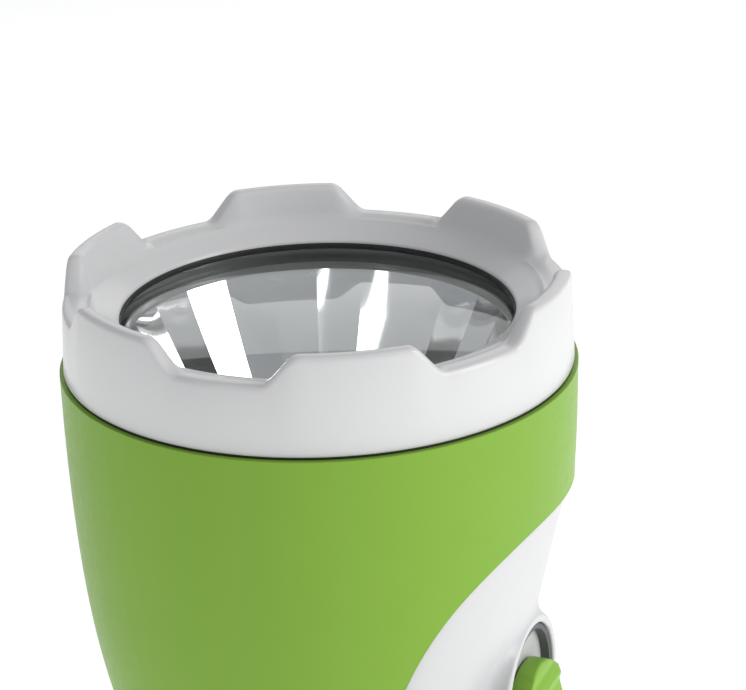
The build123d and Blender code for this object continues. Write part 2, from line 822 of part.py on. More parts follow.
with BuildPart() as battery_cap:
    with BuildSketch(Plane.XY.offset(cells_high_z - cup_height)):
        Circle(cap_radius)
        with PolarLocations(**cell_angles):
            Circle(cell_radius + cell_gap, mode=Mode.SUBTRACT)
    extrude(amount=cup_height + contact_thickness + 2 * seat)
    with BuildSketch(Plane.XY.offset(cap_low_z)):
        Circle(cap_radius)
    extrude(amount=tray_thickness)
battery_cap.part.label = "battery_cap"
export_step(battery_cap.part, "parts/battery_cap.step")

# Gear frame: two plates that fill the handle's bore, the front one with four posts
post_places = [(crank_z - post_low, post_x), (crank_z - post_low, -post_x),
               (rotor_z + post_high, post_x), (rotor_z + post_high, -post_x)]


def gear_plate(y):
    with BuildPart() as blank:
        with BuildSketch(across(y, 0)):
            with Locations(((plate_low_z + plate_high_z) / 2, 0)):
                Rectangle(plate_high_z - plate_low_z, 2 * plate_half_width)
        extrude(amount=plate_thickness)
        add(chamber_blank, mode=Mode.INTERSECT)
        with BuildSketch(across(y, 0)):
            with Locations((crank_z, 0)):
                Circle(shaft_radius + run_gap)
            with Locations((idler_z, 0)):
                Circle(axle_radius + seat / 2)
            with Locations((rotor_z, 0)):
                Circle(axle_radius + run_gap)
        extrude(amount=plate_thickness, mode=Mode.SUBTRACT)
    return blank.part


front_plate_blank = gear_plate(front_plate_y)
rear_plate_blank = gear_plate(rear_plate_y)
post_length = rear_plate_y - front_plate_y - plate_thickness
with BuildPart() as gear_plate_front:
    add(front_plate_blank)
    with BuildSketch(across(front_plate_y + plate_thickness)):
        with Locations(*post_places):
            Circle(post_radius)
            Circle(post_screw_radius + seat, mode=Mode.SUBTRACT)
    extrude(amount=post_length)
gear_plate_front.part.label = "gear_plate_front"
export_step(gear_plate_front.part, "parts/gear_plate_front.step")

with BuildPart() as gear_plate_rear:
    add(rear_plate_blank)
    with BuildSketch(across(rear_plate_y)):
        with Locations(*post_places):
            Circle(post_screw_radius + seat)
    extrude(amount=plate_thickness, mode=Mode.SUBTRACT)
gear_plate_rear.part.label = "gear_plate_rear"
export_step(gear_plate_rear.part, "parts/gear_plate_rear.step")

with BuildPart() as plate_screws:
    with BuildSketch(across(rear_plate_back_y)):
        with Locations(*post_places):
            Circle(post_screw_head_radius)
    extrude(amount=post_screw_head)
    with BuildSketch(across(rear_plate_back_y)):
        with Locations(*post_places):
            Circle(post_screw_radius)
    extrude(amount=-plate_thickness - post_length / 2)
plate_screws.part.label = "plate_screws"
export_step(plate_screws.part, "parts/plate_screws.step")

# Gears: crank gear and idler pinion behind, idler wheel and rotor pinion in front
with BuildPart() as crank_gear:
    with BuildSketch(across(outer_gears_y, crank_z)):
        draw_gear(crank_teeth)
        Circle(shaft_radius + seat / 2, mode=Mode.SUBTRACT)
    extrude(amount=gear_width)
crank_gear.part.label = "crank_gear"
export_step(crank_gear.part, "parts/crank_gear.step")

idler_collar_radius = 3.0
idler_collar_gap = 0.2
with BuildPart() as idler_gear:
    with BuildSketch(across(front_plate_y + plate_thickness + idler_collar_gap, idler_z)):
        Circle(idler_collar_radius)
    extrude(amount=post_length - 2 * idler_collar_gap)
    with BuildSketch(across(inner_gears_y, idler_z)):
        draw_gear(idler_wheel_teeth)
    extrude(amount=gear_width)
    with BuildSketch(across(outer_gears_y, idler_z)):
        draw_gear(idler_pinion_teeth, 180 / idler_pinion_teeth)
    extrude(amount=gear_width)
    with BuildSketch(across(front_plate_y, idler_z)):
        Circle(axle_radius + run_gap)
    extrude(amount=post_length * 2, mode=Mode.SUBTRACT)
idler_gear.part.label = "idler_gear"
export_step(idler_gear.part, "parts/idler_gear.step")

with BuildPart() as rotor_pinion:
    with BuildSketch(across(inner_gears_y, rotor_z)):
        draw_gear(rotor_pinion_teeth, 180 / rotor_pinion_teeth)
        Circle(axle_radius + seat / 2, mode=Mode.SUBTRACT)
    extrude(amount=gear_width)
rotor_pinion.part.label = "rotor_pinion"
export_step(rotor_pinion.part, "parts/rotor_pinion.step")


def rod(radius, low_y, high_y, z, bore=0.0):
    """Round bar or tube along Y at a height."""
    with BuildPart() as bar:
        with BuildSketch(across(low_y, z)):
            Circle(radius)
            if bore:
                Circle(bore, mode=Mode.SUBTRACT)
        extrude(amount=high_y - low_y)
    return bar.part


idler_axle = rod(axle_radius, front_plate_y, rear_plate_back_y, idler_z)
idler_axle.label = "idler_axle"
export_step(idler_axle, "parts/idler_axle.step")

rotor_shaft = rod(axle_radius, can_front_y - seat, rear_plate_back_y, rotor_z)
rotor_shaft.label = "rotor_shaft"
export_step(rotor_shaft, "parts/rotor_shaft.step")

rotor_magnet = rod(magnet_radius, magnet_y, magnet_y + magnet_length, rotor_z, axle_radius + seat / 2)
rotor_magnet.label = "rotor_magnet"
export_step(rotor_magnet, "parts/rotor_magnet.step")

# Generator: can, laminated stator with six poles, and a coil round each pole
with BuildPart() as generator_can:
    with BuildSketch(across(can_front_y, rotor_z)):
        Circle(can_radius)
        Circle(axle_radius + run_gap, mode=Mode.SUBTRACT)
    extrude(amount=can_wall)
    with BuildSketch(across(can_front_y, rotor_z)):
        Circle(can_radius)
        Circle(can_radius - can_wall, mode=Mode.SUBTRACT)
    extrude(amount=front_plate_y - can_front_y)
generator_can.part.label = "generator_can"
export_step(generator_can.part, "parts/generator_can.step")

pole_start = magnet_radius + air_gap
pole_root = stator_radius - stator_back
with BuildPart() as stator_core:
    with BuildSketch(across(magnet_y, rotor_z)):
        Circle(stator_radius)
        Circle(pole_root, mode=Mode.SUBTRACT)
        with PolarLocations((pole_start + pole_root) / 2 + seat, stator_pole_count):
            Rectangle(pole_root - pole_start, stator_pole_width)
        Circle(pole_start, mode=Mode.SUBTRACT)
    extrude(amount=magnet_length)
stator_core.part.label = "stator_core"
export_step(stator_core.part, "parts/stator_core.step")

coil_end = 1.1
coil_radial_gap = 0.5
coil_span = pole_root - pole_start - 2 * coil_radial_gap
with BuildPart() as stator_coils:
    with BuildSketch(across(magnet_y - coil_end, rotor_z)):
        with PolarLocations((pole_start + pole_root) / 2, stator_pole_count):
            Rectangle(coil_span - coil_radial_gap, stator_pole_width + 2 * coil_wall)
    extrude(amount=magnet_length + 2 * coil_end)
    with BuildSketch(across(magnet_y - seat, rotor_z)):
        with PolarLocations((pole_start + pole_root) / 2, stator_pole_count):
            Rectangle(coil_span + coil_radial_gap, stator_pole_width + 2 * seat)
    extrude(amount=magnet_length + 2 * seat, mode=Mode.SUBTRACT)
stator_coils.part.label = "stator_coils"
export_step(stator_coils.part, "parts/stator_coils.step")

# Crank: bush in the housing, shaft, arm with a pocket for the folded knob, and its screw
bush_radius = shaft_radius + run_gap + bush_wall
bush_face_y = housing_back_y - housing_wall
with BuildPart() as crank_bush:
    with BuildSketch(across(bush_face_y - bush_flange, crank_z)):
        Circle(bush_radius + bush_flange_rim)
    extrude(amount=bush_flange)
    with BuildSketch(across(bush_face_y, crank_z)):
        Circle(bush_radius)
    extrude(amount=housing_wall + bush_proud)
    with BuildSketch(across(bush_face_y - bush_flange, crank_z)):
        Circle(shaft_radius + run_gap)
    extrude(amount=2 * housing_wall + bush_flange, mode=Mode.SUBTRACT)
crank_bush.part.label = "crank_bush"
export_step(crank_bush.part, "parts/crank_bush.step")

crank_screw_radius = 1.5
shaft_end_y = arm_back_y - crank_screw_head
screw_tip_y = arm_y
with BuildPart() as crank_shaft:
    add(rod(shaft_radius, front_plate_y + seat, shaft_end_y, crank_z))
    with BuildSketch(across(screw_tip_y - seat, crank_z)):
        Circle(crank_screw_radius + seat / 2)
    extrude(amount=arm_depth, mode=Mode.SUBTRACT)
crank_shaft.part.label = "crank_shaft"
export_step(crank_shaft.part, "parts/crank_shaft.step")

with BuildPart() as crank_screw:
    with BuildSketch(across(shaft_end_y, crank_z)):
        Circle(crank_screw_head_radius)
    extrude(amount=crank_screw_head)
    with BuildSketch(across(screw_tip_y, crank_z)):
        Circle(crank_screw_radius)
    extrude(amount=shaft_end_y - screw_tip_y)
crank_screw.part.label = "crank_screw"
export_step(crank_screw.part, "parts/crank_screw.step")

arm_centres = arm_reach + arm_tip - arm_half_width
pocket_high = arm_reach + arm_tip - pocket_end_wall
arm_round = 1.0
with BuildPart() as crank_arm:
    with BuildSketch(across(arm_y, crank_z)):
        with Locations((arm_centres / 2, 0)):
            SlotCenterToCenter(arm_centres, 2 * arm_half_width)
    extrude(amount=arm_depth)
    fillet(crank_arm.edges().group_by(Axis.Y)[-1], arm_round)
    with BuildSketch(across(arm_y, crank_z)):
        with Locations(((pocket_start + pocket_high) / 2, 0)):
            RectangleRounded(pocket_high - pocket_start, 2 * pocket_half_width, pocket_corner)
        Circle(shaft_radius + seat / 2)
    extrude(amount=arm_depth, mode=Mode.SUBTRACT)
    with BuildSketch(across(shaft_end_y, crank_z)):
        Circle(crank_screw_head_radius + 4 * seat)
    extrude(amount=crank_screw_head, mode=Mode.SUBTRACT)
    with BuildSketch(Plane.YZ):
        with Locations((knob_y, hinge_z)):
            Circle(pin_radius + seat / 2)
    extrude(amount=arm_half_width, both=True, mode=Mode.SUBTRACT)
crank_arm.part.label = "crank_arm"
export_step(crank_arm.part, "parts/crank_arm.step")

pin_inset = 0.6
with BuildPart() as fold_pin:
    with BuildSketch(Plane.YZ):
        with Locations((knob_y, hinge_z)):
            Circle(pin_radius)
    extrude(amount=arm_half_width - pin_inset, both=True)
fold_pin.part.label = "fold_pin"
export_step(fold_pin.part, "parts/fold_pin.step")

# Knob: an eye on the fold pin with a stem, and a turning grip held by the stem's riveted end
stem_end_z = hinge_z - knob_start - knob_length - 2 * run_gap
with BuildPart() as knob_stem:
    with BuildSketch(Plane.YZ):
        with Locations((knob_y, hinge_z)):
            Circle(eye_radius)
    extrude(amount=pocket_half_width - arm_side_gap, both=True)
    with BuildSketch(Plane(origin=(0, knob_y, hinge_z), z_dir=(0, 0, -1))):
        Circle(stem_pin_radius)
    extrude(amount=hinge_z - stem_end_z)
    with BuildSketch(Plane(origin=(0, knob_y, stem_end_z), z_dir=(0, 0, -1))):
        Circle(rivet_radius)
    extrude(amount=rivet_height)
    with BuildSketch(Plane.YZ):
        with Locations((knob_y, hinge_z)):
            Circle(pin_radius + run_gap)
    extrude(amount=arm_half_width, both=True, mode=Mode.SUBTRACT)
knob_stem.part.label = "knob_stem"
export_step(knob_stem.part, "parts/knob_stem.step")

grip_high_z = hinge_z - knob_start
grip_low_z = grip_high_z - knob_length
with BuildPart() as knob_grip:
    with BuildSketch(Plane(origin=(0, knob_y, 0), x_dir=(1, 0, 0), z_dir=(0, -1, 0))):
        with BuildLine():
            Line((stem_pin_radius + run_gap, grip_low_z), (knob_radius, grip_low_z))
            ThreePointArc(
                (knob_radius, grip_low_z),
                (knob_radius - knob_waist, (grip_low_z + grip_high_z) / 2),
                (knob_radius, grip_high_z),
            )
            Line((knob_radius, grip_high_z), (stem_pin_radius + run_gap, grip_high_z))
            Line((stem_pin_radius + run_gap, grip_high_z), (stem_pin_radius + run_gap, grip_low_z))
        make_face()
    revolve(axis=Axis((0, knob_y, 0), (0, 0, 1)))
knob_grip.part.label = "knob_grip"
export_step(knob_grip.part, "parts/knob_grip.step")

# Tail cap: floor, wall, a spigot inside the shell with two screw columns, and a rubber foot ring
spigot_radius = tail_radius - shell_wall - spigot_fit
spigot_inner = spigot_radius - spigot_wall
tail_places = [(tail_screw_x, 0), (-tail_screw_x, 0)]
groove_gap = seat
with BuildPart() as tail_cap:
    with BuildSketch(Plane.XZ):
        with BuildLine():
            Polyline(
                (0, tail_base_z),
                (tail_base_radius, tail_base_z),
                (tail_base_radius, tail_base_z + tail_floor),
                (tail_radius + 2 * spigot_fit, shell_bottom_z),
                (0, shell_bottom_z),
                close=True,
            )
        make_face()
    revolve(axis=Axis.Z)
    with BuildSketch(Plane.XY.offset(tail_base_z + tail_floor)):
        Circle(spigot_inner)
        with Locations(*tail_places):
            Circle(column_radius, mode=Mode.SUBTRACT)
    extrude(amount=shell_bottom_z, mode=Mode.SUBTRACT)
    with BuildSketch(Plane.XY.offset(shell_bottom_z)):
        Circle(spigot_radius)
        Circle(spigot_inner, mode=Mode.SUBTRACT)
        with Locations((0, -head_radius - spigot_wall * 2)):
            Rectangle(2 * head_radius, 2 * head_radius, mode=Mode.SUBTRACT)
        with Locations(*tail_places):
            Circle(column_radius)
    extrude(amount=spigot_height)
    with BuildSketch(Plane.XY):
        with Locations(*tail_places):
            Circle(tail_screw_radius + seat)
    extrude(amount=shell_bottom_z + 2 * spigot_height, mode=Mode.SUBTRACT)
    with BuildSketch(Plane.XY):
        with Locations(*tail_places):
            Circle(tail_screw_head_radius + 4 * seat)
    extrude(amount=tail_base_z + tail_screw_head, mode=Mode.SUBTRACT)
    with BuildSketch(Plane.XY):
        Circle(foot_ring_outer + groove_gap)
        Circle(foot_ring_outer - foot_ring_width - groove_gap, mode=Mode.SUBTRACT)
    extrude(amount=foot_ring_height, mode=Mode.SUBTRACT)
tail_cap.part.label = "tail_cap"
export_step(tail_cap.part, "parts/tail_cap.step")

foot_ring = ring(foot_ring_outer, foot_ring_outer - foot_ring_width, 0, foot_ring_height)
foot_ring.label = "foot_ring"
export_step(foot_ring, "parts/foot_ring.step")

with BuildPart() as tail_screws:
    with BuildSketch(Plane.XY.offset(tail_base_z)):
        with Locations(*tail_places):
            Circle(tail_screw_head_radius)
    extrude(amount=tail_screw_head)
    with BuildSketch(Plane.XY.offset(tail_base_z)):
        with Locations(*tail_places):
            Circle(tail_screw_radius)
    extrude(amount=shell_bottom_z - tail_base_z + spigot_height + post_height - post_end_wall)
tail_screws.part.label = "tail_screws"
export_step(tail_screws.part, "parts/tail_screws.step")
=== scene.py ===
from math import atan2, cos, hypot, pi, radians, sin

import bmesh
import bpy
from mathutils import Matrix, Vector


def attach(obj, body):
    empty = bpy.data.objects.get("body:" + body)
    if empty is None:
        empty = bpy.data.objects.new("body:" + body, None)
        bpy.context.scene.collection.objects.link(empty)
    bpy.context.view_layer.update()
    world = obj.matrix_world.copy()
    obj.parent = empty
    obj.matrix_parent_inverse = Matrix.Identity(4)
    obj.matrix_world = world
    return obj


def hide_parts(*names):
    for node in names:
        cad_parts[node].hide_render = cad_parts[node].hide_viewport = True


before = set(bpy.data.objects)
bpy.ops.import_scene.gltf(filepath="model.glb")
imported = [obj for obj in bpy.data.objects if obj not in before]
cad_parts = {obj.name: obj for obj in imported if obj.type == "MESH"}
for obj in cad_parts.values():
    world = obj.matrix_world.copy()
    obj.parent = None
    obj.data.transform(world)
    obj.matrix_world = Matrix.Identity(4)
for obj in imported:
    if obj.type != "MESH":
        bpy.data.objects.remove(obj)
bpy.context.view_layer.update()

# ---------------------------------------------------------------------------------------------
# Camera, table and studio light. The camera looks down on the bezel from about 22 degrees. The
# table is a plain pale sheet. Three large soft panels light the torch from above, from the right
# and from behind, and two narrow strips by the camera draw the streaks in the reflector.
# ---------------------------------------------------------------------------------------------
camera = bpy.data.objects.new("camera", bpy.data.cameras.new("camera"))
camera.data.sensor_width = 36.0
camera.data.lens = 133.17
camera.data.clip_start = 0.02
camera.data.clip_end = 20.0
camera.location = (-0.42430, -0.17575, 0.38490)
camera.rotation_euler = (radians(68.2712), radians(1.3338), radians(-69.2406))
bpy.context.scene.collection.objects.link(camera)
bpy.context.scene.camera = camera
bpy.context.scene.view_settings.view_transform = "Standard"

room = bpy.data.worlds.new("studio air")
room.use_nodes = True
room.node_tree.nodes["Background"].inputs["Color"].default_value = (0.97, 0.98, 1.0, 1.0)
room.node_tree.nodes["Background"].inputs["Strength"].default_value = 0.34
bpy.context.scene.world = room

lit_point = Vector((0.0, 0.0, 0.19))


def soft_panel(name, place, width, height, watts):
    """A rectangular diffusing panel that faces the torch's head."""
    lamp = bpy.data.lights.new(name, "AREA")
    lamp.shape = "RECTANGLE"
    lamp.size = width
    lamp.size_y = height
    lamp.energy = watts
    panel = bpy.data.objects.new(name, lamp)
    panel.location = place
    panel.rotation_euler = (lit_point - Vector(place)).to_track_quat("-Z", "Y").to_euler()
    bpy.context.scene.collection.objects.link(panel)


soft_panel("panel above", (-0.10, 0.05, 1.30), width=0.9, height=0.9, watts=0.6)
soft_panel("panel right", (0.05, -1.06, 0.62), width=0.47, height=0.8, watts=6.3)
soft_panel("panel behind", (0.98, 0.40, 0.62), width=1.2, height=0.45, watts=1.7)
soft_panel("strip behind the camera", (-0.93, -0.22, 0.95), width=0.05, height=0.8, watts=0.40)
soft_panel("strip left", (-0.90, 0.36, 0.85), width=0.10, height=0.8, watts=0.60)


def blank_finish(name):
    """A new material and the shader that it starts with."""
    finish = bpy.data.materials.new(name)
    finish.use_nodes = True
    return finish, finish.node_tree.nodes["Principled BSDF"]


paper, paper_shader = blank_finish("pale paper")
paper_shader.inputs["Base Color"].default_value = (0.90, 0.90, 0.90, 1.0)
paper_shader.inputs["Roughness"].default_value = 0.9
paper_shader.inputs["Emission Color"].default_value = (1.0, 1.0, 1.0, 1.0)
paper_shader.inputs["Emission Strength"].default_value = 0.50
sheet_mesh = bpy.data.meshes.new("table sheet")
sheet = bmesh.new()
bmesh.ops.create_grid(sheet, x_segments=4, y_segments=4, size=4.0)
sheet.to_mesh(sheet_mesh)
sheet.free()
table_sheet = bpy.data.objects.new("table_sheet", sheet_mesh)
bpy.context.scene.collection.objects.link(table_sheet)
table_sheet.data.materials.append(paper)

# ---------------------------------------------------------------------------------------------
# Bezel ring: one moulding of white ABS that screws over the head. Six broad teeth stand round a
# conical ledge, every edge of them rounded off, and a skirt hides inside the green shell. It
# holds the lens down on its seal.
# ---------------------------------------------------------------------------------------------
MM = 0.001
SEAM = 200.0
bezel_steps = 600
wall_foot_radius, wall_foot = 45.7, SEAM + 0.4
rim_outer, rim_inner, rim_height = 45.2, 42.5, SEAM + 18.0
ledge_radius, ledge_height = 40.5, SEAM + 12.0
window_radius, window_top, window_low = 35.3, SEAM + 9.5, SEAM + 8.7
seat_radius, seat_low = 38.8, SEAM + 3.7
skirt_inner, skirt_outer, skirt_foot = 41.95, 43.75, SEAM - 6.0
rim_round, ledge_round, window_round, foot_round = 0.95, 1.5, 0.3, 0.35
tooth_pitch, tooth_half = 60.0, 13.2
flank_span, flank_soft = 6.0, 1.5
notch_depth = 5.3
outer_wall_from, outer_drop_from, outer_drop_span = 43.85, 1.5, 15.2
inner_wall_from = 40.6


def lathe(section, steps, closed=True):
    """Turns a section, given as (radius, height) in millimetres, into a ring about the Z axis."""
    turned = bmesh.new()
    stations = [turned.verts.new((radius, 0.0, height)) for radius, height in section]
    pairs = list(zip(stations, stations[1:])) + ([(stations[-1], stations[0])] if closed else [])
    for one, other in pairs:
        turned.edges.new((one, other))
    bmesh.ops.spin(turned, geom=turned.verts[:] + turned.edges[:], cent=(0.0, 0.0, 0.0),
                   axis=(0.0, 0.0, 1.0), angle=2 * pi, steps=steps, use_merge=True)
    bmesh.ops.remove_doubles(turned, verts=turned.verts[:], dist=0.0005)
    bmesh.ops.recalc_face_normals(turned, faces=turned.faces[:])
    return turned


def round_ring(turned, radius, height, width, segments):
    """Rounds the circular edge at that radius and height of a turned shape."""
    slack = 0.02
    circle = [edge for edge in turned.edges
              if all(abs(hypot(end.co.x, end.co.y) - radius) < slack and abs(end.co.z - height) < slack
                     for end in edge.verts)]
    bmesh.ops.bevel(turned, geom=circle, offset=width, offset_type="OFFSET", segments=segments,
                    profile=0.5, affect="EDGES", material=-1, clamp_overlap=True)


def place_piece(name, shape, finishes, body, stands_for, crease=32.0):
    """Makes the piece from its mesh in millimetres, smooth but for its creases, on its body."""
    bmesh.ops.remove_doubles(shape, verts=shape.verts[:], dist=0.0005)
    bmesh.ops.recalc_face_normals(shape, faces=shape.faces[:])
    bmesh.ops.scale(shape, vec=(MM, MM, MM), verts=shape.verts[:])
    for face in shape.faces:
        face.smooth = True
    for edge in shape.edges:
        edge.smooth = len(edge.link_faces) != 2 or edge.calc_face_angle(0.0) < radians(crease)
    mesh = bpy.data.meshes.new(name)
    shape.to_mesh(mesh)
    shape.free()
    for finish in finishes:
        mesh.materials.append(finish)
    piece = bpy.data.objects.new(name, mesh)
    bpy.context.scene.collection.objects.link(piece)
    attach(piece, body)
    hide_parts(*stands_for)
    return piece


def feed(tree, socket, given):
    """Links a socket to another node's result, or sets it to a colour or a number."""
    if isinstance(given, bpy.types.NodeSocket):
        tree.links.new(given, socket)
    elif isinstance(given, tuple):
        socket.default_value = (*given, 1.0)
    else:
        socket.default_value = given


def piece_place(tree):
    """The place on the piece, in metres of the shared frame."""
    return tree.nodes.new("ShaderNodeTexCoord").outputs["Object"]


def noise(tree, place, scale, detail=2.0):
    """Soft noise over the piece."""
    node = tree.nodes.new("ShaderNodeTexNoise")
    node.inputs["Scale"].default_value = scale
    node.inputs["Detail"].default_value = detail
    feed(tree, node.inputs["Vector"], place)
    return node.outputs["Fac"]


def blend(tree, share, first, second):
    """The colour that lies a share of the way from the first to the second."""
    node = tree.nodes.new("ShaderNodeMix")
    node.data_type = "RGBA"
    for socket, given in (("Factor", share), ("A", first), ("B", second)):
        feed(tree, node.inputs[socket], given)
    return node.outputs["Result"]


def spread(tree, value, low, high, start=0.0, stop=1.0, easing="LINEAR"):
    """Turns a value that runs from start to stop into one that runs from low to high."""
    node = tree.nodes.new("ShaderNodeMapRange")
    node.interpolation_type = easing
    for socket, given in (("Value", value), ("From Min", start), ("From Max", stop),
                          ("To Min", low), ("To Max", high)):
        feed(tree, node.inputs[socket], given)
    return node.outputs["Result"]


def fine_surface(tree, shader, relief, strength, depth, edge_round):
    """Rounds off the edges under a fine relief, and gives the rounded surface's direction."""
    soft_edge = tree.nodes.new("ShaderNodeBevel")
    soft_edge.samples = 4
    soft_edge.inputs["Radius"].default_value = edge_round
    skin = tree.nodes.new("ShaderNodeBump")
    for socket, given in (("Strength", strength), ("Distance", depth), ("Height", relief),
                          ("Normal", soft_edge.outputs["Normal"])):
        feed(tree, skin.inputs[socket], given)
    feed(tree, shader.inputs["Normal"], skin.outputs["Normal"])
    return soft_edge.outputs["Normal"]


def moulded(name, pale, deep, roughness, grain=900.0, grain_depth=0.00002, edge_round=0.0003,
            edge_highlight=0.25, coat=0.0, specular=0.5, corner_shade=0.35, shade_reach=0.008):
    """Moulded plastic: faint clouds between two close tones, a painted highlight that makes rounded
    edges paler, painted shade from ambient occlusion that darkens corners, creases and gaps, and a
    fine mould grain that also breaks the gloss."""
    plastic, shader = blank_finish(name)
    tree = plastic.node_tree
    place = piece_place(tree)
    clouds = noise(tree, place, 38.0, detail=5.0)
    fine = noise(tree, place, grain)
    rounded = fine_surface(tree, shader, fine, 0.35, grain_depth, edge_round)
    agree = tree.nodes.new("ShaderNodeVectorMath")
    agree.operation = "DOT_PRODUCT"
    feed(tree, agree.inputs[0], rounded)
    feed(tree, agree.inputs[1], tree.nodes.new("ShaderNodeNewGeometry").outputs["Normal"])
    # Painted highlight: the colour turns paler where the rounded edge's direction parts from the face's.
    on_edge = spread(tree, agree.outputs["Value"], 0.0, edge_highlight, start=0.995, stop=0.80)
    highlighted = blend(tree, on_edge, blend(tree, clouds, deep, pale),
                    tuple(min(1.0, part * 1.25 + 0.04) for part in pale))
    # Painted shade: ambient occlusion darkens corners, creases and gaps towards a quarter of the deep tone.
    corners = tree.nodes.new("ShaderNodeAmbientOcclusion")
    corners.samples = 6
    corners.inputs["Distance"].default_value = shade_reach
    painted_shade = spread(tree, corners.outputs["AO"], corner_shade, 0.0)
    feed(tree, shader.inputs["Base Color"], blend(tree, painted_shade, highlighted, tuple(part * 0.25 for part in deep)))
    feed(tree, shader.inputs["Roughness"],
         spread(tree, fine, roughness - 0.05, roughness + 0.06, start=0.3, stop=0.7))
    shader.inputs["Specular IOR Level"].default_value = specular
    shader.inputs["Coat Weight"].default_value = coat
    shader.inputs["Coat Roughness"].default_value = 0.15
    return plastic


def tooth_drop(angle):
    """How far the rim lies below a tooth's top, with soft turns above and below each flank."""
    away = abs((angle + tooth_pitch / 2 + 90.0) % tooth_pitch - tooth_pitch / 2)

    def risen(x):
        along = min(max(x - tooth_half, 0.0), flank_span)
        return along * along / (2 * flank_span) + max(x - tooth_half - flank_span, 0.0)

    return notch_depth * (risen(away + flank_soft) - risen(away - flank_soft)) / (2 * flank_soft)


bezel = lathe([(wall_foot_radius, wall_foot), (rim_outer, rim_height), (rim_inner, rim_height),
               (ledge_radius, ledge_height), (window_radius, window_top), (window_radius, window_low),
               (seat_radius, window_low), (seat_radius, seat_low), (skirt_inner, seat_low),
               (skirt_inner, skirt_foot), (skirt_outer, skirt_foot), (skirt_outer, wall_foot)], bezel_steps)
round_ring(bezel, rim_outer, rim_height, rim_round, 4)
round_ring(bezel, rim_inner, rim_height, rim_round, 4)
round_ring(bezel, ledge_radius, ledge_height, ledge_round, 4)
round_ring(bezel, window_radius, window_top, window_round, 2)
round_ring(bezel, wall_foot_radius, wall_foot, foot_round, 2)
# The notches sink the rim between the teeth and leave the wall's foot and the ledge level.
for corner in bezel.verts:
    reach = hypot(corner.co.x, corner.co.y)
    height = corner.co.z
    drop = tooth_drop(atan2(corner.co.y, corner.co.x) * 180 / pi)
    if reach > outer_wall_from and height > SEAM + outer_drop_from:
        corner.co.z -= drop * min((height - SEAM - outer_drop_from) / outer_drop_span, 1.0)
    elif reach > inner_wall_from and height > ledge_height:
        corner.co.z -= drop * (height - ledge_height) / (rim_height - ledge_height)
# The bezel gets a full painted highlight on its rounded rims and painted shade in its corners and notches.
white_abs = moulded("white ABS", (0.80, 0.80, 0.80), (0.76, 0.76, 0.765), 0.36, edge_round=0.0011,
                    edge_highlight=1.0, coat=0.4, corner_shade=0.42, shade_reach=0.020)
place_piece("bezel_ring_moulding", bezel, [white_abs], "torch", ["bezel_ring"])

# ---------------------------------------------------------------------------------------------
# Lens, its seal and the seal of the seam. The lens is a clear polycarbonate disc with eased
# edges, pressed up against a black rubber ring whose bead shows as a thin line under the ledge.
# A thin black ring fills the seam between bezel and shell.
# ---------------------------------------------------------------------------------------------
disc_steps = 192
lens_radius, lens_low, lens_top, lens_eased = 38.4, SEAM + 5.5, SEAM + 7.9, 0.3
seal_lip, seal_throat, seal_outer = 34.95, 35.27, 38.35
seal_low, seal_shoulder, seal_top, seal_round = SEAM + 7.95, SEAM + 8.65, SEAM + 9.05, 0.15


def reckon(tree, operation, *given):
    """The result of a sum or a comparison of other nodes' results and numbers."""
    node = tree.nodes.new("ShaderNodeMath")
    node.operation = operation
    for socket, each in zip(node.inputs, given):
        feed(tree, socket, each)
    return node.outputs["Value"]


clear_sheet, sheet_gloss = blank_finish("clear polycarbonate")
clear_tree = clear_sheet.node_tree
sheet_gloss.inputs["Metallic"].default_value = 1.0
smears = noise(clear_tree, piece_place(clear_tree), 45.0)
feed(clear_tree, sheet_gloss.inputs["Base Color"],
     blend(clear_tree, smears, (0.93, 0.94, 0.95), (1.0, 1.0, 1.0)))
feed(clear_tree, sheet_gloss.inputs["Roughness"], spread(clear_tree, smears, 0.01, 0.06))
see_through = clear_tree.nodes.new("ShaderNodeBsdfTransparent")
see_through.inputs["Color"].default_value = (0.97, 0.98, 0.98, 1.0)
glancing = clear_tree.nodes.new("ShaderNodeFresnel")
glancing.inputs["IOR"].default_value = 1.58
inner_side = clear_tree.nodes.new("ShaderNodeNewGeometry").outputs["Backfacing"]
outer_side = reckon(clear_tree, "SUBTRACT", 1.0, inner_side)
thrown_back = clear_tree.nodes.new("ShaderNodeMixShader")
feed(clear_tree, thrown_back.inputs["Fac"],
     reckon(clear_tree, "MULTIPLY", glancing.outputs["Fac"], outer_side))
feed(clear_tree, thrown_back.inputs[1], see_through.outputs["BSDF"])
feed(clear_tree, thrown_back.inputs[2], sheet_gloss.outputs["BSDF"])
feed(clear_tree, clear_tree.nodes["Material Output"].inputs["Surface"], thrown_back.outputs["Shader"])

lens_disc = lathe([(0.0, lens_low), (lens_radius, lens_low), (lens_radius, lens_top), (0.0, lens_top)],
                  disc_steps, closed=False)
round_ring(lens_disc, lens_radius, lens_low, lens_eased, 2)
round_ring(lens_disc, lens_radius, lens_top, lens_eased, 2)
place_piece("lens_disc", lens_disc, [clear_sheet], "torch", ["lens"])

rubber = moulded("black rubber", (0.020, 0.020, 0.021), (0.012, 0.012, 0.012), 0.55, grain=700.0,
                 grain_depth=0.00004, edge_highlight=0.10)
seal_bead = lathe([(seal_lip, seal_low), (seal_outer, seal_low), (seal_outer, seal_shoulder),
                   (seal_throat, seal_shoulder), (seal_throat, seal_top), (seal_lip, seal_top)], disc_steps)
round_ring(seal_bead, seal_lip, seal_low, seal_round, 2)
round_ring(seal_bead, seal_lip, seal_top, seal_round, 2)
place_piece("lens_seal", seal_bead, [rubber], "torch", ["lens_gasket"])


def finish_node(node, finish):
    """A CAD node whose shape is right keeps it and gets the finish."""
    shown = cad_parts[node]
    shown.data.materials.clear()
    shown.data.materials.append(finish)


finish_node("seam_seal", rubber)
